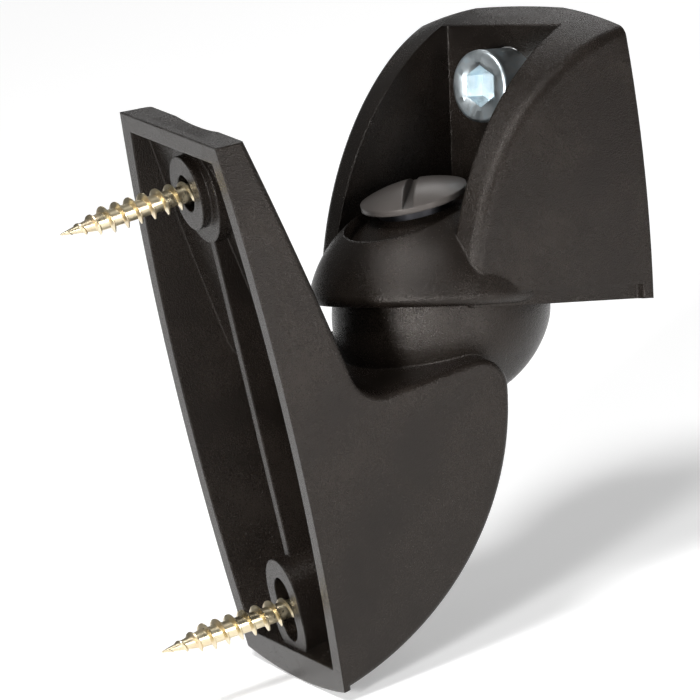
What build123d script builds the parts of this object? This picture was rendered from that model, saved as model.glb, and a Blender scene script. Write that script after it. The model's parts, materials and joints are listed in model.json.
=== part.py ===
"""Speaker wall bracket: a hollow wall plate with a fixed ball, and a hood that swivels and tilts on it."""

import os
from math import atan2, degrees, sqrt

from build123d import *

os.makedirs("parts", exist_ok=True)

# Wall plate, seen square on
HOLE_SPACING = 60.0
PLATE_TOP = 39.2
PLATE_BOTTOM = 38.5
PLATE_BOTTOM_BOW = 1.3
PLATE_END_HALF_WIDTH = 17.4
PLATE_MID_HALF_WIDTH = 21.8

# Wall plate, seen from the side
PLATE_TOP_DEPTH = 4.3
PLATE_DECK_DEPTH = 11.0
PLATE_WALL = 2.5
PLATE_DRAFT = 6.0
PLATE_EDGE_ROUND = 0.8
SCOOP_DEPTH = 0.9
SCOOP_HALF_WIDTH = 11.0
SCOOP_SET_BACK = 1.4
CHEEK_RADIUS = 40.3
CHEEK_CENTRE_Y = -7.1
CHEEK_CENTRE_Z = 1.5
CHEEK_FOOT_DEPTH = 1.2
DECK_FILLET = 5.0
DECK_TIP_ROUND = 4.0

# Screw bosses and the web between them
BOSS_RADIUS = 5.2
BOSS_SET_BACK = 0.6
UPPER_BASE_RADIUS = 7.4
UPPER_BASE_SET_BACK = 2.0
SEAT_DEPTH = 3.4
LOWER_SLOT_TRAVEL = 4.0
WEB_THICKNESS = 1.6
WEB_SET_BACK = 2.6

# Wall screws
WALL_SCREW_DIAMETER = 4.0
WALL_SCREW_LENGTH = 24.0
WALL_SCREW_HEAD_DIAMETER = 7.6
WALL_SCREW_HEAD_TAPER = 2.0
WALL_SCREW_HEAD_EDGE = 0.5
WALL_SCREW_NECK_DIAMETER = 3.4
WALL_SCREW_THREAD_START = 0.3
WALL_SCREW_TIP = 6.0
WALL_SCREW_POINT = 0.3
CROSS_WIDTH = 1.0
CROSS_SPAN = 4.2
CROSS_DEPTH = 1.5
CROSS_TAPER = 8.0
WALL_HOLE_CLEARANCE = 0.6
HEAD_TUNNEL_CLEARANCE = 0.7

# Ball on the wall plate
BALL_CENTRE_Y = 32.3
BALL_CENTRE_Z = 2.5
BALL_RADIUS = 15.0
BALL_BOWL_DEPTH = 12.5
BALL_CORNER = 9.0
BALL_TOP = 10.0
SEAT_CLEARANCE = 0.2

# Clamp screw, saddle washer and thread insert
CLAMP_DIAMETER = 5.0
CLAMP_LENGTH = 22.0
CLAMP_HEAD_RADIUS = 7.4
CLAMP_HEAD_EDGE = 0.8
CLAMP_HEAD_CROWN = 1.6
CLAMP_SLOT_WIDTH = 1.5
CLAMP_SLOT_DEPTH = 1.6
CLAMP_SLOT_TURN = -29.4
SADDLE_RADIUS = 5.4
SADDLE_THICKNESS = 0.4
INSERT_RADIUS = 3.8
INSERT_LENGTH = 9.0
THREAD_CLEARANCE = 0.05
SHANK_ROOM = 0.6

# Pose of the hood: swivel about the ball's upright axis, then tilt
SWIVEL_REST = 25.2
TILT_REST = 16.4
TILT_DOWN_LIMIT = 20.0
TILT_UP_LIMIT = 10.0

# Hood
DOME_RADIUS = 17.0
DOME_LEAN = 1.9
DOME_WALL = 1.4
DOME_RIM = 2.0
DOME_RIM_ROUND = 1.2
DOME_SEAT_WALL = 0.9
RECESS_ROOM = 0.8
RECESS_FRONT_LIMIT = 28.0
HOOD_BACK = 17.6
HOOD_BACK_WALL = 2.8
HOOD_BOTTOM = 1.6
HOOD_FOOT_HALF_WIDTH = 23.1
HOOD_BELLY_HALF_WIDTH = 21.8
HOOD_BELLY_HEIGHT = 22.5
HOOD_CORNER_HALF_WIDTH = 18.9
HOOD_CORNER_HEIGHT = 40.2
HOOD_TOP = 41.4
HOOD_CORNER_ROUND = 3.0
HOOD_FLARE = 18.0
HOOD_ARC_RADIUS = 43.2
HOOD_ARC_CENTRE_Y = 32.5
HOOD_ARC_CENTRE_Z = 1.2
HOOD_ARC_HALF_WIDTH = 24.0
HOOD_ARC_CROWN = 4.9
HOOD_EDGE_ROUND = 2.2
HOOD_HOLLOW_HALF_WIDTH = 11.0
HOOD_ROOF_UNDER = 38.9
HOOD_WALL = 2.6
FOOT_STEP = 2.0
FOOT_STEP_INSET = 1.2
FOOT_FLANGE = 1.4

# Speaker screw and the slot it slides in
SCREW_DIAMETER = 6.0
SCREW_LENGTH = 16.0
SCREW_HEAD_DIAMETER = 10.0
SCREW_HEAD_HEIGHT = 6.0
SCREW_HEAD_CHAMFER = 0.5
SCREW_NECK_DIAMETER = 5.0
SCREW_NECK_ROOM = 0.2
SCREW_HEX = 5.0
SCREW_HEX_DEPTH = 3.2
SCREW_HEIGHT = 30.8
SCREW_SLOT_CLEARANCE = 0.4
SLOT_LOW = 18.0
SLOT_HIGH = 36.0

# Frames: the wall is the plane Y = 0, and the hood is drawn about the ball's centre before it is posed
WALL_FRONT = Plane((0, 0, 0), x_dir=(-1, 0, 0), z_dir=(0, 1, 0))
BALL_PLACE = Location((0, BALL_CENTRE_Y, BALL_CENTRE_Z))
HOOD_PLACE = BALL_PLACE * Rotation(0, 0, SWIVEL_REST) * Rotation(-TILT_REST, 0, 0)
REACH = 2 * CHEEK_RADIUS
EDGE_MARGIN = 0.1


def wall_side(offset_y):
    """A plane in front of the wall that looks out of it."""
    return WALL_FRONT.offset(offset_y)


def barrel_outline(inset):
    """The wall plate's outline seen square on, drawn in by an inset: bulging sides and a bowed lower end."""
    top = PLATE_TOP - inset
    bottom = inset - PLATE_BOTTOM
    half_end = PLATE_END_HALF_WIDTH - inset
    half_mid = PLATE_MID_HALF_WIDTH - inset
    with BuildLine() as outline:
        Line((-half_end, top), (half_end, top))
        ThreePointArc((half_end, top), (half_mid, 0), (half_end, bottom))
        ThreePointArc((half_end, bottom), (0, bottom - PLATE_BOTTOM_BOW), (-half_end, bottom))
        ThreePointArc((-half_end, bottom), (-half_mid, 0), (-half_end, top))
    make_face(outline.edges())


def cheek_depth(height, inset):
    """How far the wing's round cheek, drawn in by an inset, stands out at a height."""
    return CHEEK_CENTRE_Y + sqrt((CHEEK_RADIUS - inset) ** 2 - (height - CHEEK_CENTRE_Z) ** 2)


def side_profile(back, inset):
    """The wall plate's section on its centre plane, drawn in all round by an inset."""
    incline = (PLATE_DECK_DEPTH - PLATE_TOP_DEPTH) / PLATE_TOP
    face_shift = inset * sqrt(1 + incline**2)
    top = PLATE_TOP + 2 * PLATE_WALL - inset
    bottom = -PLATE_BOTTOM - PLATE_BOTTOM_BOW - 2 * PLATE_WALL + inset
    foot_depth = CHEEK_FOOT_DEPTH - inset
    cheek_radius = CHEEK_RADIUS - inset
    foot_drop = sqrt(cheek_radius**2 - (foot_depth - CHEEK_CENTRE_Y) ** 2)
    foot = (foot_depth, CHEEK_CENTRE_Z - foot_drop)
    cheek_middle = (cheek_depth(-PLATE_BOTTOM / 2, inset), -PLATE_BOTTOM / 2)
    tip = (cheek_depth(-inset, inset), -inset)
    deck = (PLATE_DECK_DEPTH + incline * inset - face_shift, -inset)
    face_top = (PLATE_DECK_DEPTH - incline * top - face_shift, top)
    with BuildLine() as outline:
        Polyline(
            foot, (foot_depth, bottom), (back + inset, bottom),
            (back + inset, top), face_top, deck, tip,
        )
        ThreePointArc(tip, cheek_middle, foot)
    make_face(outline.edges())
    fillet(vertices().sort_by_distance((*deck, 0))[0], radius=DECK_FILLET + inset)
    if DECK_TIP_ROUND > inset:
        fillet(vertices().sort_by_distance((*tip, 0))[0], radius=DECK_TIP_ROUND - inset)


def boss_outline(radius, travel):
    """One boss or hole: round at the upper screw, a slot along Z at the lower one."""
    if travel:
        SlotCenterToCenter(travel, 2 * radius, rotation=90)
    else:
        Circle(radius)


def tilt_room(half_width, front_limit, inner_radius):
    """Room in the dome for what stands on the upright axis while the dome tilts under it."""
    outer_radius = 2 * DOME_RADIUS
    with BuildPart() as room:
        with BuildSketch(Plane.XZ.rotated((-TILT_UP_LIMIT, 0, 0))):
            Rectangle(2 * half_width, outer_radius, align=(Align.CENTER, Align.MIN))
        revolve(axis=Axis.X, revolution_arc=TILT_UP_LIMIT + front_limit)
        for end in (-TILT_UP_LIMIT, front_limit):
            with Locations(Rotation(end, 0, 0)):
                Cylinder(half_width, outer_radius, align=(Align.CENTER, Align.CENTER, Align.MIN))
        Sphere(inner_radius, mode=Mode.SUBTRACT)
    return room.part


BOSSES = ((HOLE_SPACING / 2, 0), (-HOLE_SPACING / 2, LOWER_SLOT_TRAVEL))

# Hollow of the wall plate, less the bosses and the web
with BuildPart() as hollow:
    with BuildSketch(WALL_FRONT):
        barrel_outline(PLATE_WALL)
    extrude(amount=REACH, taper=PLATE_DRAFT)
    with BuildSketch(Plane.YZ):
        side_profile(-2 * PLATE_WALL, PLATE_WALL)
    extrude(amount=REACH, both=True, mode=Mode.INTERSECT)
    for height, travel in BOSSES:
        with BuildSketch(wall_side(BOSS_SET_BACK)):
            with Locations((0, height)):
                boss_outline(BOSS_RADIUS, travel)
        extrude(amount=REACH, mode=Mode.SUBTRACT)
    with BuildSketch(wall_side(UPPER_BASE_SET_BACK)):
        with Locations((0, HOLE_SPACING / 2)):
            Circle(UPPER_BASE_RADIUS)
    extrude(amount=REACH, mode=Mode.SUBTRACT)
    with BuildSketch(wall_side(WEB_SET_BACK)):
        Rectangle(WEB_THICKNESS, HOLE_SPACING)
    extrude(amount=REACH, mode=Mode.SUBTRACT)

# Ball: a sphere above its middle with a flat top, and a shallow bowl below
with BuildPart() as ball:
    with BuildSketch(Plane.XZ):
        with BuildLine():
            top_radius = sqrt(BALL_RADIUS**2 - BALL_TOP**2)
            corner_centre = BALL_RADIUS - BALL_CORNER
            corner_depth = BALL_BOWL_DEPTH - BALL_CORNER
            bowl_centre = (corner_centre**2 - corner_depth**2) / (2 * corner_depth)
            bowl_radius = bowl_centre + BALL_BOWL_DEPTH
            corner_angle = degrees(atan2(bowl_centre, corner_centre))
            CenterArc((0, bowl_centre), bowl_radius, -90, 90 - corner_angle)
            CenterArc((corner_centre, 0), BALL_CORNER, -corner_angle, corner_angle)
            CenterArc((0, 0), BALL_RADIUS, 0, degrees(atan2(BALL_TOP, top_radius)))
            Polyline((top_radius, BALL_TOP), (0, BALL_TOP), (0, -BALL_BOWL_DEPTH))
        make_face()
    revolve(axis=Axis.Z)

with BuildPart() as wall_plate:
    with BuildSketch(WALL_FRONT):
        barrel_outline(0)
    extrude(amount=REACH, taper=PLATE_DRAFT)
    with BuildSketch(Plane.YZ):
        side_profile(0, 0)
    extrude(amount=REACH, both=True, mode=Mode.INTERSECT)
    front_edges = wall_plate.edges().filter_by(lambda edge: edge.bounding_box().min.Y > PLATE_EDGE_ROUND)
    side_edges = front_edges.filter_by(lambda edge: abs(edge.center().X) > PLATE_EDGE_ROUND)
    fillet(side_edges, radius=PLATE_EDGE_ROUND)
    scoop_radius = (SCOOP_HALF_WIDTH**2 + SCOOP_DEPTH**2) / (2 * SCOOP_DEPTH)
    with BuildSketch(wall_side(SCOOP_SET_BACK)):
        with Locations((0, PLATE_TOP - SCOOP_DEPTH + scoop_radius)):
            Circle(scoop_radius)
    extrude(amount=PLATE_TOP_DEPTH, mode=Mode.SUBTRACT)
    add(hollow.part, mode=Mode.SUBTRACT)
    with Locations(BALL_PLACE):
        add(ball.part)
    with Locations(BALL_PLACE * Location((0, 0, BALL_TOP))):
        Hole(INSERT_RADIUS, depth=INSERT_LENGTH)
        Hole(CLAMP_DIAMETER / 2 + SHANK_ROOM, depth=CLAMP_LENGTH)
    for height, travel in BOSSES:
        with BuildSketch(WALL_FRONT):
            with Locations((0, height)):
                boss_outline(WALL_SCREW_DIAMETER / 2 + WALL_HOLE_CLEARANCE, travel)
        extrude(amount=REACH, mode=Mode.SUBTRACT)
        with BuildSketch(wall_side(SEAT_DEPTH)):
            with Locations((0, height)):
                boss_outline(WALL_SCREW_HEAD_DIAMETER / 2 + HEAD_TUNNEL_CLEARANCE, travel)
        extrude(amount=REACH, mode=Mode.SUBTRACT)
wall_plate.part.label = "wall_plate"
export_step(wall_plate.part, "parts/wall_plate.step")


def wall_screw(height):
    """A countersunk wood screw through a boss, its point beyond the wall."""
    head_radius = WALL_SCREW_HEAD_DIAMETER / 2
    neck_radius = WALL_SCREW_NECK_DIAMETER / 2
    thread_radius = WALL_SCREW_DIAMETER / 2
    head_top = SEAT_DEPTH + WALL_SCREW_HEAD_TAPER + WALL_SCREW_HEAD_EDGE
    tip = head_top - WALL_SCREW_LENGTH
    with BuildPart() as screw:
        with BuildSketch(Plane.XY):
            with BuildLine() as outline:
                Polyline(
                    (0, head_top), (head_radius, head_top), (head_radius, head_top - WALL_SCREW_HEAD_EDGE),
                    (neck_radius, SEAT_DEPTH), (neck_radius, WALL_SCREW_THREAD_START),
                    (thread_radius, WALL_SCREW_THREAD_START), (thread_radius, tip + WALL_SCREW_TIP),
                    (WALL_SCREW_POINT, tip), (0, tip), (0, head_top),
                )
            make_face(outline.edges())
        revolve(axis=Axis.Y)
        with BuildSketch(wall_side(head_top)):
            Rectangle(CROSS_SPAN, CROSS_WIDTH)
            Rectangle(CROSS_WIDTH, CROSS_SPAN)
        extrude(amount=-CROSS_DEPTH, taper=CROSS_TAPER, mode=Mode.SUBTRACT)
    return screw.part.moved(Location((0, 0, height)))


for name, height in (("wall_screw_upper", HOLE_SPACING / 2), ("wall_screw_lower", -HOLE_SPACING / 2)):
    screw = wall_screw(height)
    screw.label = name
    export_step(screw, f"parts/{name}.step")

# Threaded sleeve in the ball that the clamp screw turns in
with BuildPart() as thread_insert:
    with Locations((0, 0, BALL_TOP)):
        Cylinder(INSERT_RADIUS, INSERT_LENGTH, align=(Align.CENTER, Align.CENTER, Align.MAX))
        Hole(CLAMP_DIAMETER / 2 + THREAD_CLEARANCE)
thread_insert.part = thread_insert.part.moved(BALL_PLACE)
thread_insert.part.label = "thread_insert"
export_step(thread_insert.part, "parts/thread_insert.step")

# Clamp stack above the ball: the dome's seat, then the saddle washer, then the screw's head
DOME_SEAT_INNER = BALL_RADIUS + SEAT_CLEARANCE
DOME_SEAT_OUTER = DOME_SEAT_INNER + DOME_SEAT_WALL
SADDLE_UNDER = DOME_SEAT_OUTER + SEAT_CLEARANCE
SADDLE_TOP = SADDLE_UNDER + SADDLE_THICKNESS

with BuildPart() as saddle_washer:
    Cylinder(SADDLE_RADIUS, SADDLE_TOP, align=(Align.CENTER, Align.CENTER, Align.MIN))
    Sphere(SADDLE_UNDER, mode=Mode.SUBTRACT)
    with Locations((0, 0, SADDLE_TOP)):
        Hole(CLAMP_DIAMETER / 2 + THREAD_CLEARANCE, depth=SADDLE_TOP)
saddle_washer.part = saddle_washer.part.moved(BALL_PLACE)
saddle_washer.part.label = "saddle_washer"
export_step(saddle_washer.part, "parts/saddle_washer.step")

with BuildPart() as clamp_screw:
    with BuildSketch(Plane.XZ):
        edge_top = SADDLE_TOP + CLAMP_HEAD_EDGE
        crown_top = edge_top + CLAMP_HEAD_CROWN
        crown_radius = (CLAMP_HEAD_RADIUS**2 + CLAMP_HEAD_CROWN**2) / (2 * CLAMP_HEAD_CROWN)
        with BuildLine():
            shank_radius = CLAMP_DIAMETER / 2
            shank_end = SADDLE_TOP - CLAMP_LENGTH
            Polyline(
                (0, crown_top), (0, shank_end), (shank_radius, shank_end), (shank_radius, SADDLE_TOP),
                (CLAMP_HEAD_RADIUS, SADDLE_TOP), (CLAMP_HEAD_RADIUS, edge_top),
            )
            RadiusArc((CLAMP_HEAD_RADIUS, edge_top), (0, crown_top), -crown_radius)
        make_face()
    revolve(axis=Axis.Z)
    with Locations(Location((0, 0, crown_top), (0, 0, CLAMP_SLOT_TURN))):
        Box(2 * CLAMP_HEAD_RADIUS, CLAMP_SLOT_WIDTH, 2 * CLAMP_SLOT_DEPTH, mode=Mode.SUBTRACT)
clamp_screw.part = clamp_screw.part.moved(BALL_PLACE)
clamp_screw.part.label = "clamp_screw"
export_step(clamp_screw.part, "parts/clamp_screw.step")


HOOD_INNER_BACK = HOOD_BACK - HOOD_BACK_WALL
HOOD_DEPTH = HOOD_BACK + HOOD_ARC_RADIUS - HOOD_ARC_CENTRE_Y


def hood_outline():
    """The hood's outline seen square on to the speaker, run on below: bulging sides and a bowed top."""
    below = HOOD_BOTTOM - HOOD_DEPTH
    foot = HOOD_FOOT_HALF_WIDTH
    belly = HOOD_BELLY_HALF_WIDTH
    corner = HOOD_CORNER_HALF_WIDTH
    with BuildLine() as outline:
        Polyline((-foot, HOOD_BOTTOM), (-foot, below), (foot, below), (foot, HOOD_BOTTOM))
        ThreePointArc((foot, HOOD_BOTTOM), (belly, HOOD_BELLY_HEIGHT), (corner, HOOD_CORNER_HEIGHT))
        ThreePointArc((corner, HOOD_CORNER_HEIGHT), (0, HOOD_TOP), (-corner, HOOD_CORNER_HEIGHT))
        ThreePointArc((-corner, HOOD_CORNER_HEIGHT), (-belly, HOOD_BELLY_HEIGHT), (-foot, HOOD_BOTTOM))
    face = make_face(outline.edges())
    fillet(face.vertices().group_by(Axis.Y)[-1], radius=HOOD_CORNER_ROUND)


def hood_front(inset):
    """The crowned drum whose surface is the hood's front rim, drawn in by an inset."""
    rim = HOOD_ARC_CENTRE_Y - HOOD_ARC_RADIUS + inset
    end = rim + HOOD_ARC_CROWN
    half = HOOD_ARC_HALF_WIDTH
    with BuildPart() as drum:
        with BuildSketch(Plane.XY.offset(HOOD_ARC_CENTRE_Z)):
            with BuildLine() as outline:
                ThreePointArc((-half, end), (0, rim), (half, end))
                Polyline((half, end), (half, HOOD_ARC_CENTRE_Y), (-half, HOOD_ARC_CENTRE_Y), (-half, end))
            make_face(outline.edges())
        revolve(axis=Axis((0, HOOD_ARC_CENTRE_Y, HOOD_ARC_CENTRE_Z), (1, 0, 0)))
    return drum.part


def above(height):
    """A block over everything at or above a height."""
    with BuildPart() as block:
        with Locations((0, 0, height)):
            Box(*HOOD_BLOCK, align=(Align.CENTER, Align.CENTER, Align.MIN))
    return block.part


HOOD_BLOCK = (2 * HOOD_ARC_RADIUS, 2 * HOOD_ARC_RADIUS, 2 * HOOD_ARC_RADIUS)

# Dome over the ball, fuller at the front, rounded at its rim and cut flush with the hood's back
with BuildPart() as dome:
    Sphere(DOME_SEAT_INNER + DOME_WALL)
    with Locations((0, -DOME_LEAN, 0)):
        Sphere(DOME_RADIUS)
    add(above(DOME_RIM), mode=Mode.INTERSECT)
    fillet(dome.edges().group_by(Axis.Z)[0], radius=DOME_RIM_ROUND)
    with Locations((0, HOOD_BACK, 0)):
        Box(*HOOD_BLOCK, align=(Align.CENTER, Align.MAX, Align.CENTER), mode=Mode.INTERSECT)


def hood_body(inset):
    """The hood as a solid block between its back and its front rim, drawn in by an inset."""
    with BuildPart() as body:
        with BuildSketch(Plane.XZ.offset(-HOOD_BACK)):
            hood_outline()
            if inset:
                offset(amount=-inset, kind=Kind.INTERSECTION)
        extrude(amount=HOOD_DEPTH, taper=HOOD_FLARE)
        add(hood_front(inset), mode=Mode.INTERSECT)
    return body.part


# Pockets that core the two cheeks from the speaker's side
with BuildPart() as pockets:
    add(hood_body(HOOD_WALL))
    add(above(HOOD_BOTTOM + FOOT_STEP + HOOD_WALL), mode=Mode.INTERSECT)
    Box(2 * (HOOD_HOLLOW_HALF_WIDTH + HOOD_WALL), 2 * HOOD_DEPTH, 4 * HOOD_TOP, mode=Mode.SUBTRACT)

# Step that sets the foot of the cheeks in, up to the flange at the back
with BuildPart() as foot_step:
    with Locations((0, HOOD_BACK - FOOT_FLANGE, HOOD_BOTTOM)):
        Box(
            4 * HOOD_FOOT_HALF_WIDTH, 2 * HOOD_DEPTH, FOOT_STEP,
            align=(Align.CENTER, Align.MAX, Align.MIN),
        )
    add(hood_body(FOOT_STEP_INSET), mode=Mode.SUBTRACT)

with BuildPart() as speaker_bracket:
    add(hood_body(0))
    add(above(HOOD_BOTTOM), mode=Mode.INTERSECT)
    near_back = HOOD_BACK - EDGE_MARGIN
    front_edges = speaker_bracket.edges().filter_by(lambda edge: edge.bounding_box().min.Y < near_back)
    rim_edges = front_edges.filter_by(lambda edge: edge.bounding_box().size.Z > HOOD_WALL)
    fillet(rim_edges, radius=HOOD_EDGE_ROUND)
    add(pockets.part, mode=Mode.SUBTRACT)
    add(foot_step.part, mode=Mode.SUBTRACT)
    with Locations((0, HOOD_INNER_BACK, HOOD_ROOF_UNDER)):
        Box(
            2 * HOOD_HOLLOW_HALF_WIDTH, 2 * HOOD_DEPTH, 2 * HOOD_ROOF_UNDER,
            align=(Align.CENTER, Align.MAX, Align.MAX), mode=Mode.SUBTRACT,
        )
    add(dome.part)
    Sphere(DOME_SEAT_INNER, mode=Mode.SUBTRACT)
    add(tilt_room(CLAMP_HEAD_RADIUS + RECESS_ROOM, RECESS_FRONT_LIMIT, DOME_SEAT_OUTER), mode=Mode.SUBTRACT)
    add(tilt_room(CLAMP_DIAMETER / 2 + SHANK_ROOM, TILT_DOWN_LIMIT, DOME_RIM), mode=Mode.SUBTRACT)
    with BuildSketch(Plane.XZ.offset(-HOOD_BACK)):
        with Locations((0, (SLOT_LOW + SLOT_HIGH) / 2)):
            SlotOverall(SLOT_HIGH - SLOT_LOW, SCREW_DIAMETER + 2 * SCREW_SLOT_CLEARANCE, rotation=90)
    extrude(amount=2 * HOOD_BACK_WALL, both=True, mode=Mode.SUBTRACT)
speaker_bracket.part = speaker_bracket.part.moved(HOOD_PLACE)
speaker_bracket.part.label = "speaker_bracket"
export_step(speaker_bracket.part, "parts/speaker_bracket.step")

# Socket head screw that goes into the speaker
with BuildPart() as speaker_screw:
    with BuildSketch(Plane.XZ.offset(-HOOD_INNER_BACK)):
        with Locations((0, SCREW_HEIGHT)):
            Circle(SCREW_NECK_DIAMETER / 2)
    extrude(amount=-SCREW_LENGTH)
    with BuildSketch(Plane.XZ.offset(-HOOD_BACK - SCREW_NECK_ROOM)):
        with Locations((0, SCREW_HEIGHT)):
            Circle(SCREW_DIAMETER / 2)
    extrude(amount=HOOD_BACK_WALL + SCREW_NECK_ROOM - SCREW_LENGTH)
    with BuildSketch(Plane.XZ.offset(-HOOD_INNER_BACK)):
        with Locations((0, SCREW_HEIGHT)):
            Circle(SCREW_HEAD_DIAMETER / 2)
    extrude(amount=SCREW_HEAD_HEIGHT)
    chamfer(speaker_screw.edges().group_by(Axis.Y)[0], length=SCREW_HEAD_CHAMFER)
    with BuildSketch(Plane.XZ.offset(SCREW_HEAD_HEIGHT - HOOD_INNER_BACK)):
        with Locations((0, SCREW_HEIGHT)):
            RegularPolygon(SCREW_HEX / 2, 6, major_radius=False, rotation=30)
    extrude(amount=-SCREW_HEX_DEPTH, mode=Mode.SUBTRACT)
speaker_screw.part = speaker_screw.part.moved(HOOD_PLACE)
speaker_screw.part.label = "speaker_screw"
export_step(speaker_screw.part, "parts/speaker_screw.step")
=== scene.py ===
import json
from math import cos, pi, radians, sin, tau

import bmesh
import bpy
from mathutils import Matrix, Vector


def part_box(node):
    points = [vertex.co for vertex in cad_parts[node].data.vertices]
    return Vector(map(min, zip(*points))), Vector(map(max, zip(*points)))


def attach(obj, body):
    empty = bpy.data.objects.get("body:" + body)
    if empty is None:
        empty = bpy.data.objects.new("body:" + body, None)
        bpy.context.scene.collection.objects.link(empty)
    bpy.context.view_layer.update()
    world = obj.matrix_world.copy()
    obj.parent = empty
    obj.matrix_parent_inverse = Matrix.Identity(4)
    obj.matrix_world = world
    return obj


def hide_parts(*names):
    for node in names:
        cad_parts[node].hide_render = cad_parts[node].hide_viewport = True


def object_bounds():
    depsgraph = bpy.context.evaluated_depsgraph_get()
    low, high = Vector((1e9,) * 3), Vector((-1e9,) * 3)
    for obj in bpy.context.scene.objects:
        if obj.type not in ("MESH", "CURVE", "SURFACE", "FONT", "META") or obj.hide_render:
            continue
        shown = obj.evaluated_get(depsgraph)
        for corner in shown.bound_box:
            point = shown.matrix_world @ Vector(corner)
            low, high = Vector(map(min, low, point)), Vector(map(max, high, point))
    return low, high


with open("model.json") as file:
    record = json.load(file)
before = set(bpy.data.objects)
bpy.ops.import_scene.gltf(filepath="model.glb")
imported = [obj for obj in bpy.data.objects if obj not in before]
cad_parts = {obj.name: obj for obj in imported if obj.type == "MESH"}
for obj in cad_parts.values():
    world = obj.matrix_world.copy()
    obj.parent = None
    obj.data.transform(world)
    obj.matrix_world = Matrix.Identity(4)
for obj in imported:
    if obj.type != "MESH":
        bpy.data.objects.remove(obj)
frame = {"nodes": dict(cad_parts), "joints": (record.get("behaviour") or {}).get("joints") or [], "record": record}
cad_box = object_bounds()

MM = 0.001
IMAGE_PIXELS = 700

# Camera of the photograph
CAMERA_AZIMUTH = 70.36
CAMERA_ELEVATION = 14.95
CAMERA_ROLL = -13.31
CAMERA_DISTANCE = 1524.2 * MM
CAMERA_FOCAL_PIXELS = 11217.4
CAMERA_TARGET = Vector((0, 18.24 * MM, 1.92 * MM))
SENSOR = 36.0
CAMERA_REACH = 20.0

# Wood screws, from the top of the head down
WOOD_HEAD_RADIUS = 3.8 * MM
WOOD_HEAD_EDGE = 0.5 * MM
WOOD_HEAD_DEPTH = 2.5 * MM
WOOD_CORE_RADIUS = 1.25 * MM
WOOD_CREST_RADIUS = 2.0 * MM
WOOD_ROOT_HALF = 0.42 * MM
WOOD_CREST_HALF = 0.07 * MM
WOOD_PITCH = 2.0 * MM
WOOD_THREAD_START = 4.2 * MM
WOOD_POINT_LENGTH = 6.0 * MM
WOOD_POINT_RADIUS = 0.12 * MM
CROSS_HALF_WIDTH = 0.5 * MM
CROSS_HALF_SPAN = 2.1 * MM
CROSS_DEPTH = 1.5 * MM
CROSS_SHRINK = 0.7

# Speaker screw, from the top of the head down
SOCKET_HEAD_RADIUS = 5.0 * MM
SOCKET_HEAD_HEIGHT = 6.0 * MM
SOCKET_HEAD_ROUND = 0.5 * MM
SOCKET_FLAT_RADIUS = 4.45 * MM
SOCKET_MOUTH_RADIUS = 3.35 * MM
SOCKET_MOUTH_DEPTH = 0.35 * MM
SOCKET_HEX_FLATS = 5.0 * MM
SOCKET_HEX_DEPTH = 3.2 * MM
SOCKET_SEAT_TO_THREAD = 3.0 * MM
SOCKET_ROOT_RADIUS = 2.45 * MM
SOCKET_CREST_RADIUS = 3.0 * MM
SOCKET_ROOT_HALF = 0.44 * MM
SOCKET_CREST_HALF = 0.07 * MM
SOCKET_PITCH = 1.0 * MM
SOCKET_END_CHAMFER = 0.5 * MM
HEX_SIDES = 6

# Meshes
TURN_STEPS = 64
THREAD_STEPS = 36
ROUND_STEPS = 5
THREAD_SINK = 0.9
THREAD_LEAST = 0.1
SHARP_ANGLE = radians(35)
SAME_PLACE = 1e-7
SAME_RADIUS = 1e-6
QUARTERS = (0, 0.5 * pi, pi, 1.5 * pi)

# Finishes
EDGE_SOFTENING = 0.4 * MM
EDGE_SAMPLES = 6
PLASTIC_SPECULAR = 0.3
WARM_SHEEN = (1, 0.93, 0.88, 1)
GRAIN_HEIGHT = 0.06 * MM
PLATING_HEIGHT = 0.03 * MM
MASK_LOW = 0.3
MASK_HIGH = 0.7
CELL_SHARE = 0.55
TONE_SHARE = 0.5

# Studio: each lamp's place along the camera's back, right and up in metres, its size and its power
LAMPS = {
    "key": ((0.55, -0.35, 0.75), 0.3, 6.5),
    "left_front": ((0.85, -0.45, -0.08), 0.16, 9.0),
    "right_front": ((0.85, 0.48, 0.02), 0.16, 4.0),
    "back_box": ((-0.66, 0, 0.75), 0.35, 1.2),
}
WORLD_STRENGTH = 0.12
WHITE = (1, 1, 1, 1)
FLOOR_SIZE = 4.0
FLOOR_GAP = 0.2 * MM
FLOOR_COLOUR = (0.93, 0.93, 0.93, 1)
FLOOR_ROUGHNESS = 0.9
FLOOR_GLOW = 0.3


def record_mount(name):
    """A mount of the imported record, by name."""
    return next(mount for mount in frame["record"]["mounts"] if mount["name"] == name)


def record_joint(name):
    """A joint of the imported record, by name."""
    return next(joint for joint in frame["joints"] if joint["name"] == name)


SPEAKER_AXIS = Vector(record_mount("speaker_stud")["axis"]).normalized()
CROSS_AXIS = Vector(record_joint("tilt")["axis"]).normalized()
HOOD_UP = CROSS_AXIS.cross(SPEAKER_AXIS).normalized()


# Materials


def add_node(tree, kind, place, **values):
    """A shader node with named properties and input values."""
    node = tree.nodes.new(kind)
    node.location = place
    for key, value in values.items():
        if key in node.inputs:
            node.inputs[key].default_value = value
        else:
            setattr(node, key, value)
    return node


def group_socket(group, name, direction, kind, default=None):
    """One named socket of a node group."""
    socket = group.interface.new_socket(name=name, in_out=direction, socket_type=kind)
    if default is not None:
        socket.default_value = default
    return socket


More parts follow.
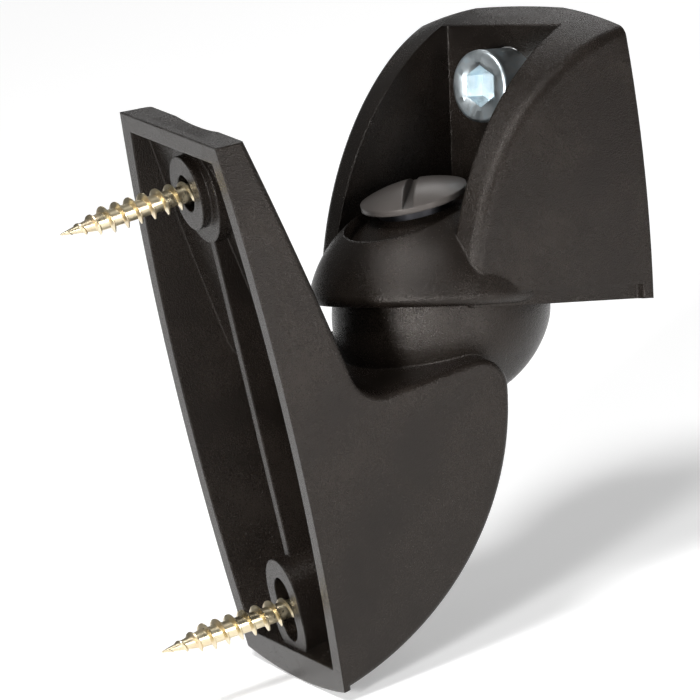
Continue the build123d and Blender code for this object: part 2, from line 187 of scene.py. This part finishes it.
def moulded_grain_group():
    """Spark-eroded mould grain: fine pits over broad cloudiness, as a height and a tone mask."""
    group = bpy.data.node_groups.new("moulded_grain", "ShaderNodeTree")
    group_socket(group, "Grain Scale", "INPUT", "NodeSocketFloat", 3000.0)
    group_socket(group, "Cloud Scale", "INPUT", "NodeSocketFloat", 90.0)
    group_socket(group, "Height", "OUTPUT", "NodeSocketFloat")
    group_socket(group, "Tone", "OUTPUT", "NodeSocketFloat")
    start = add_node(group, "NodeGroupInput", (-800, 0))
    end = add_node(group, "NodeGroupOutput", (500, 0))
    place = add_node(group, "ShaderNodeTexCoord", (-800, -250))
    grain = add_node(group, "ShaderNodeTexNoise", (-500, 150), Detail=3.0, Roughness=0.6)
    cells = add_node(group, "ShaderNodeTexVoronoi", (-500, -150))
    cloud = add_node(group, "ShaderNodeTexNoise", (-500, -450), Detail=4.0, Roughness=0.55)
    mix_height = add_node(group, "ShaderNodeMath", (0, 100), operation="MULTIPLY_ADD")
    mix_height.inputs[1].default_value = CELL_SHARE
    mix_tone = add_node(group, "ShaderNodeMath", (0, -200), operation="MULTIPLY_ADD")
    mix_tone.inputs[1].default_value = TONE_SHARE
    half = add_node(group, "ShaderNodeMath", (-200, -420), operation="MULTIPLY")
    half.inputs[1].default_value = TONE_SHARE
    link = group.links.new
    for texture in (grain, cells, cloud):
        link(place.outputs["Object"], texture.inputs["Vector"])
    link(start.outputs["Grain Scale"], grain.inputs["Scale"])
    link(start.outputs["Grain Scale"], cells.inputs["Scale"])
    link(start.outputs["Cloud Scale"], cloud.inputs["Scale"])
    link(cells.outputs["Distance"], mix_height.inputs[0])
    link(grain.outputs[0], mix_height.inputs[2])
    link(cloud.outputs[0], half.inputs[0])
    link(grain.outputs[0], mix_tone.inputs[0])
    link(half.outputs[0], mix_tone.inputs[2])
    link(mix_height.outputs[0], end.inputs["Height"])
    link(mix_tone.outputs[0], end.inputs["Tone"])
    return group


def plated_metal_group():
    """Plated metal: fine turning marks and soft blotches of the passivation, as masks and a height."""
    group = bpy.data.node_groups.new("plated_metal", "ShaderNodeTree")
    group_socket(group, "Fine Scale", "INPUT", "NodeSocketFloat", 2500.0)
    group_socket(group, "Blotch Scale", "INPUT", "NodeSocketFloat", 260.0)
    group_socket(group, "Height", "OUTPUT", "NodeSocketFloat")
    group_socket(group, "Blotch", "OUTPUT", "NodeSocketFloat")
    start = add_node(group, "NodeGroupInput", (-700, 0))
    end = add_node(group, "NodeGroupOutput", (300, 0))
    place = add_node(group, "ShaderNodeTexCoord", (-700, -250))
    fine = add_node(group, "ShaderNodeTexNoise", (-400, 150), Detail=2.0, Roughness=0.5)
    blotch = add_node(group, "ShaderNodeTexNoise", (-400, -200), Detail=3.0, Roughness=0.6, Distortion=0.6)
    link = group.links.new
    link(place.outputs["Object"], fine.inputs["Vector"])
    link(place.outputs["Object"], blotch.inputs["Vector"])
    link(start.outputs["Fine Scale"], fine.inputs["Scale"])
    link(start.outputs["Blotch Scale"], blotch.inputs["Scale"])
    link(fine.outputs[0], end.inputs["Height"])
    link(blotch.outputs[0], end.inputs["Blotch"])
    return group


GRAIN = moulded_grain_group()
PLATING = plated_metal_group()


def colour_ramp(tree, place, stops):
    """A colour ramp with the given stops of position and colour."""
    ramp = add_node(tree, "ShaderNodeValToRGB", place)
    elements = ramp.color_ramp.elements
    elements[0].position, elements[0].color = stops[0]
    elements[1].position, elements[1].color = stops[-1]
    for position, colour in stops[1:-1]:
        elements.new(position).color = colour
    return ramp


def roughness_range(tree, low, high):
    """A node that turns a mask into a roughness between two values."""
    rough = add_node(tree, "ShaderNodeMapRange", (-600, -60))
    rough.inputs["From Min"].default_value = MASK_LOW
    rough.inputs["From Max"].default_value = MASK_HIGH
    rough.inputs["To Min"].default_value = low
    rough.inputs["To Max"].default_value = high
    return rough


def start_material(name):
    """A new material, its node tree and its Principled shader."""
    material = bpy.data.materials.new(name)
    material.use_nodes = True
    tree = material.node_tree
    return material, tree, tree.nodes["Principled BSDF"]


def moulded_plastic(name, dark, light, grain_scale, relief, rough_low, rough_high):
    """Black moulded plastic with softened edges and a mould grain of the given scale and relief."""
    material, tree, shader = start_material(name)
    grain = add_node(tree, "ShaderNodeGroup", (-900, 0), node_tree=GRAIN)
    grain.inputs["Grain Scale"].default_value = grain_scale
    tone = colour_ramp(tree, (-600, 200), ((MASK_LOW, (*dark, 1)), (MASK_HIGH, (*light, 1))))
    rough = roughness_range(tree, rough_low, rough_high)
    softened = add_node(tree, "ShaderNodeBevel", (-600, -400), samples=EDGE_SAMPLES, Radius=EDGE_SOFTENING)
    bump = add_node(tree, "ShaderNodeBump", (-300, -300), Strength=relief, Distance=GRAIN_HEIGHT)
    link = tree.links.new
    link(grain.outputs["Tone"], tone.inputs["Fac"])
    link(grain.outputs["Tone"], rough.inputs["Value"])
    link(grain.outputs["Height"], bump.inputs["Height"])
    link(softened.outputs["Normal"], bump.inputs["Normal"])
    link(tone.outputs["Color"], shader.inputs["Base Color"])
    link(rough.outputs["Result"], shader.inputs["Roughness"])
    link(bump.outputs["Normal"], shader.inputs["Normal"])
    shader.inputs["Specular Tint"].default_value = WARM_SHEEN
    shader.inputs["Specular IOR Level"].default_value = PLASTIC_SPECULAR
    return material


def plated_metal(name, stops, rough_low, rough_high, relief):
    """Plated metal whose colour drifts through the given stops."""
    material, tree, shader = start_material(name)
    plating = add_node(tree, "ShaderNodeGroup", (-900, 0), node_tree=PLATING)
    tone = colour_ramp(tree, (-600, 200), stops)
    rough = roughness_range(tree, rough_low, rough_high)
    bump = add_node(tree, "ShaderNodeBump", (-300, -300), Strength=relief, Distance=PLATING_HEIGHT)
    link = tree.links.new
    link(plating.outputs["Blotch"], tone.inputs["Fac"])
    link(plating.outputs["Blotch"], rough.inputs["Value"])
    link(plating.outputs["Height"], bump.inputs["Height"])
    link(tone.outputs["Color"], shader.inputs["Base Color"])
    link(rough.outputs["Result"], shader.inputs["Roughness"])
    link(bump.outputs["Normal"], shader.inputs["Normal"])
    shader.inputs["Metallic"].default_value = 1.0
    return material


BLACK_PLASTIC = moulded_plastic(
    "black_moulded_plastic", (0.002, 0.0014, 0.001), (0.0165, 0.0126, 0.0101),
    grain_scale=5200.0, relief=1.0, rough_low=0.2, rough_high=0.32,
)
SATIN_PLASTIC = moulded_plastic(
    "satin_black_plastic", (0.062, 0.055, 0.051), (0.078, 0.07, 0.065),
    grain_scale=6000.0, relief=0.15, rough_low=0.28, rough_high=0.38,
)
WHITE_ZINC = plated_metal(
    "white_zinc_plate",
    ((0.3, (0.66, 0.75, 0.79, 1)), (0.5, (0.79, 0.86, 0.89, 1)), (0.7, (0.62, 0.75, 0.82, 1))),
    rough_low=0.28, rough_high=0.46, relief=0.4,
)
YELLOW_ZINC = plated_metal(
    "yellow_zinc_plate",
    ((0.3, (0.7, 0.6, 0.4, 1)), (0.5, (0.8, 0.7, 0.49, 1)), (0.7, (0.72, 0.58, 0.39, 1))),
    rough_low=0.22, rough_high=0.38, relief=0.25,
)
# A real black zinc finish, kept this dark so that the saddle washer also serves as painted shade under the clamp
# head
BLACK_ZINC_PAINTED_SHADE = plated_metal(
    "black_zinc_painted_shade", ((0.3, (0.03, 0.03, 0.034, 1)), (0.7, (0.055, 0.055, 0.06, 1))),
    rough_low=0.35, rough_high=0.5, relief=0.2,
)
TURNED_BRASS = plated_metal(
    "turned_brass", ((0.3, (0.72, 0.53, 0.25, 1)), (0.7, (0.8, 0.62, 0.32, 1))),
    rough_low=0.25, rough_high=0.4, relief=0.2,
)


# Modelling helpers


def upright_to(axis, origin, side=None):
    """The transform that stands a shape made along +Z on a line through the origin point."""
    up = Vector(axis).normalized()
    side = Vector(side) if side else up.orthogonal()
    across = (side - up * side.dot(up)).normalized()
    matrix = Matrix((across, up.cross(across), up)).transposed().to_4x4()
    matrix.translation = origin
    return matrix


def lathe(bm, outline):
    """Turns an outline of radius and height points about the Z axis."""
    points = [bm.verts.new((radius, 0, height)) for radius, height in outline]
    edges = [bm.edges.new(pair) for pair in zip(points, points[1:])]
    bmesh.ops.spin(
        bm, geom=points + edges, cent=(0, 0, 0), axis=(0, 0, 1), angle=tau, steps=TURN_STEPS, use_merge=True
    )
    bmesh.ops.remove_doubles(bm, verts=bm.verts, dist=SAME_PLACE)


def quarter_round(radius, height, size):
    """Points of a rounded edge, from the flat top at a height to the side at a radius."""
    angles = [0.5 * pi * step / ROUND_STEPS for step in range(ROUND_STEPS + 1)]
    return [(radius - size + size * sin(angle), height + size - size * cos(angle)) for angle in angles]


def thread_ridge(bm, core, crest, root_half, crest_half, pitch, start, end, point=None):
    """A helical thread: a trapezium swept round Z from start to end, fading in, and down to any point."""
    before = set(bm.verts)
    root = core * THREAD_SINK
    section = ((root, -root_half), (crest, -crest_half), (crest, crest_half), (root, root_half))
    corners = [bm.verts.new((radius, 0, start + height)) for radius, height in section]
    count = int(THREAD_STEPS * (end - start) / pitch)
    bmesh.ops.spin(
        bm, geom=[bm.faces.new(corners)], cent=(0, 0, 0), axis=(0, 0, 1),
        dvec=(0, 0, pitch / THREAD_STEPS), angle=tau * count / THREAD_STEPS, steps=count,
    )
    for vert in set(bm.verts) - before:
        radius = vert.co.xy.length
        wanted = radius
        if radius > core:
            wanted = core + (radius - core) * min(1, max(0, (vert.co.z - start) / pitch))
        if point and vert.co.z > end - point:
            wanted *= max(THREAD_LEAST, (end + pitch / 4 - vert.co.z) / (point + pitch / 4))
        vert.co.x *= wanted / radius
        vert.co.y *= wanted / radius


def sink_recess(bm, rim_radius, outline, mouth_depth, depth, shrink):
    """Closes a head's top round a recess, whose mouth may lie deeper and which narrows as it goes down."""
    on_rim = {
        vert for vert in bm.verts
        if abs(vert.co.z) < SAME_PLACE and abs(vert.co.xy.length - rim_radius) < SAME_RADIUS
    }
    rim = [edge for edge in bm.edges if on_rim.issuperset(edge.verts)]
    points = [bm.verts.new((x, y, mouth_depth)) for x, y in outline]
    mouth = [bm.edges.new(pair) for pair in zip(points, points[1:] + points[:1])]
    bmesh.ops.bridge_loops(bm, edges=rim + mouth)
    lid = bm.faces.new(points)
    sunk = bmesh.ops.extrude_face_region(bm, geom=[lid])
    bmesh.ops.delete(bm, geom=[lid], context="FACES_ONLY")
    floor = [item for item in sunk["geom"] if isinstance(item, bmesh.types.BMVert)]
    bmesh.ops.scale(bm, verts=floor, vec=(shrink, shrink, 1))
    bmesh.ops.translate(bm, verts=floor, vec=(0, 0, depth))


def finish_piece(name, bm, placed, material, body, replaced):
    """Puts a piece in its place, shades it, hangs it on its body and hides the CAD part it replaces."""
    bm.transform(placed)
    bmesh.ops.recalc_face_normals(bm, faces=bm.faces)
    mesh = bpy.data.meshes.new(name)
    bm.to_mesh(mesh)
    bm.free()
    mesh.shade_smooth()
    mesh.set_sharp_from_angle(angle=SHARP_ANGLE)
    mesh.materials.append(material)
    piece = bpy.data.objects.new(name, mesh)
    bpy.context.scene.collection.objects.link(piece)
    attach(piece, body)
    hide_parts(replaced)


# Screws


def cross_outline(half_width, half_span):
    """A plus sign, anticlockwise."""
    quarter = ((half_width, half_width), (half_width, half_span), (-half_width, half_span))
    return [(x * cos(a) - y * sin(a), x * sin(a) + y * cos(a)) for a in QUARTERS for x, y in quarter]


def wood_screw(node):
    """A pale yellow wood screw with a cross recess, coarse thin threads and a point."""
    low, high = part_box(node)
    length = high.y - low.y
    point_start = length - WOOD_POINT_LENGTH
    bm = bmesh.new()
    lathe(bm, [
        (WOOD_HEAD_RADIUS, 0), (WOOD_HEAD_RADIUS, WOOD_HEAD_EDGE), (WOOD_CORE_RADIUS, WOOD_HEAD_DEPTH),
        (WOOD_CORE_RADIUS, point_start), (WOOD_POINT_RADIUS, length), (0, length),
    ])
    cross = cross_outline(CROSS_HALF_WIDTH, CROSS_HALF_SPAN)
    sink_recess(bm, WOOD_HEAD_RADIUS, cross, 0, CROSS_DEPTH, CROSS_SHRINK)
    thread_ridge(
        bm, WOOD_CORE_RADIUS, WOOD_CREST_RADIUS, WOOD_ROOT_HALF, WOOD_CREST_HALF,
        WOOD_PITCH, WOOD_THREAD_START, length - WOOD_ROOT_HALF, point=WOOD_POINT_LENGTH,
    )
    middle = (low + high) / 2
    placed = upright_to((0, -1, 0), Vector((middle.x, high.y, middle.z)))
    finish_piece(f"{node}_threaded", bm, placed, YELLOW_ZINC, "wall", node)


def socket_screw():
    """The zinc plated socket head screw in the hood's slot."""
    stud = record_mount("speaker_stud")
    thread_length = stud["dims"]["length_mm"] * MM
    thread_start = SOCKET_HEAD_HEIGHT + SOCKET_SEAT_TO_THREAD
    length = thread_start + thread_length
    corner = SOCKET_HEX_FLATS / 2 / cos(pi / HEX_SIDES)
    bm = bmesh.new()
    lathe(bm, [
        (SOCKET_MOUTH_RADIUS, 0), (SOCKET_FLAT_RADIUS, 0),
        *quarter_round(SOCKET_HEAD_RADIUS, 0, SOCKET_HEAD_ROUND),
        (SOCKET_HEAD_RADIUS, SOCKET_HEAD_HEIGHT), (SOCKET_ROOT_RADIUS, SOCKET_HEAD_HEIGHT),
        (SOCKET_ROOT_RADIUS, length - SOCKET_END_CHAMFER),
        (SOCKET_ROOT_RADIUS - SOCKET_END_CHAMFER, length), (0, length),
    ])
    angles = [tau * side / HEX_SIDES for side in range(HEX_SIDES)]
    hexagon = [(corner * cos(angle), corner * sin(angle)) for angle in angles]
    sink_recess(bm, SOCKET_MOUTH_RADIUS, hexagon, SOCKET_MOUTH_DEPTH, SOCKET_HEX_DEPTH, shrink=1)
    thread_ridge(
        bm, SOCKET_ROOT_RADIUS, SOCKET_CREST_RADIUS, SOCKET_ROOT_HALF, SOCKET_CREST_HALF,
        SOCKET_PITCH, SOCKET_HEAD_HEIGHT + SOCKET_PITCH, length - SOCKET_PITCH / 2,
    )
    head_top = Vector(stud["pos_m"]) - SPEAKER_AXIS * (thread_length / 2 + thread_start)
    placed = upright_to(SPEAKER_AXIS, head_top, HOOD_UP)
    finish_piece("speaker_screw_threaded", bm, placed, WHITE_ZINC, "hood", "speaker_screw")


wood_screw("wall_screw_upper")
wood_screw("wall_screw_lower")
socket_screw()


# CAD nodes that keep their shape


def dress(node, material):
    """Gives a CAD node's object its finish."""
    target = frame["nodes"][node]
    target.data.materials.clear()
    target.data.materials.append(material)


dress("wall_plate", BLACK_PLASTIC)
dress("speaker_bracket", BLACK_PLASTIC)
dress("clamp_screw", SATIN_PLASTIC)
# The saddle washer's near-black zinc is partly painted shade under the clamp head
dress("saddle_washer", BLACK_ZINC_PAINTED_SHADE)
dress("thread_insert", TURNED_BRASS)


# Studio


def lift_for_viewers(tree, shader):
    """A little glow that only the camera, reflections and glass see, so that the pale floor stays pale."""
    path = add_node(tree, "ShaderNodeLightPath", (-600, -500))
    seen = add_node(tree, "ShaderNodeMath", (-400, -500), operation="MAXIMUM")
    seen_too = add_node(tree, "ShaderNodeMath", (-200, -500), operation="MAXIMUM")
    glow = add_node(tree, "ShaderNodeMath", (0, -500), operation="MULTIPLY")
    glow.inputs[1].default_value = FLOOR_GLOW
    shader.inputs["Emission Color"].default_value = WHITE
    link = tree.links.new
    link(path.outputs["Is Camera Ray"], seen.inputs[0])
    link(path.outputs["Is Glossy Ray"], seen.inputs[1])
    link(seen.outputs[0], seen_too.inputs[0])
    link(path.outputs["Is Transmission Ray"], seen_too.inputs[1])
    link(seen_too.outputs[0], glow.inputs[0])
    link(glow.outputs[0], shader.inputs["Emission Strength"])


def stage_floor():
    """A wide pale floor just under the bracket's foot."""
    bm = bmesh.new()
    bmesh.ops.create_grid(bm, x_segments=1, y_segments=1, size=FLOOR_SIZE)
    bmesh.ops.translate(bm, verts=bm.verts, vec=(0, 0, cad_box[0].z - FLOOR_GAP))
    mesh = bpy.data.meshes.new("studio_floor")
    bm.to_mesh(mesh)
    bm.free()
    floor = bpy.data.objects.new("studio_floor", mesh)
    bpy.context.scene.collection.objects.link(floor)
    material, tree, shader = start_material("pale_floor")
    shader.inputs["Base Color"].default_value = FLOOR_COLOUR
    shader.inputs["Roughness"].default_value = FLOOR_ROUGHNESS
    lift_for_viewers(tree, shader)
    mesh.materials.append(material)


def soft_box(name, place, target, size, power):
    """A square area lamp that looks at a point."""
    light = bpy.data.lights.new(name, "AREA")
    light.shape = "SQUARE"
    light.size = size
    light.energy = power
    lamp = bpy.data.objects.new(name, light)
    bpy.context.scene.collection.objects.link(lamp)
    lamp.location = place
    lamp.rotation_mode = "QUATERNION"
    lamp.rotation_quaternion = (Vector(target) - Vector(place)).to_track_quat("-Z", "Y")


def camera_frame():
    """The photograph's viewing direction, its right and its up, rolled as the photograph is."""
    azimuth = radians(CAMERA_AZIMUTH)
    elevation = radians(CAMERA_ELEVATION)
    roll = radians(CAMERA_ROLL)
    back = Vector((sin(azimuth) * cos(elevation), -cos(azimuth) * cos(elevation), sin(elevation)))
    level = Vector((cos(azimuth), sin(azimuth), 0))
    upright = back.cross(level)
    right = level * cos(roll) + upright * sin(roll)
    up = upright * cos(roll) - level * sin(roll)
    return back, right, up


def photo_camera():
    """The camera at the photograph's angle, distance and framing."""
    back, right, up = camera_frame()
    data = bpy.data.cameras.new("photo_camera")
    data.sensor_width = SENSOR
    data.lens = CAMERA_FOCAL_PIXELS / IMAGE_PIXELS * SENSOR
    camera = bpy.data.objects.new("photo_camera", data)
    bpy.context.scene.collection.objects.link(camera)
    matrix = Matrix((right, up, back)).transposed().to_4x4()
    matrix.translation = CAMERA_TARGET + back * CAMERA_DISTANCE
    camera.matrix_world = matrix
    data.clip_end = CAMERA_REACH
    bpy.context.scene.camera = camera


def studio_light():
    """Soft lamps round the camera's side and behind, and a pale world."""
    back, right, up = camera_frame()
    for name, (place, size, power) in LAMPS.items():
        offset = back * place[0] + right * place[1] + up * place[2]
        soft_box(name, CAMERA_TARGET + offset, CAMERA_TARGET, size, power)
    world = bpy.data.worlds.new("studio")
    bpy.context.scene.world = world
    world.use_nodes = True
    backdrop = world.node_tree.nodes["Background"]
    backdrop.inputs["Color"].default_value = WHITE
    backdrop.inputs["Strength"].default_value = WORLD_STRENGTH


stage_floor()
photo_camera()
studio_light()
bpy.context.scene.view_settings.view_transform = "Standard"
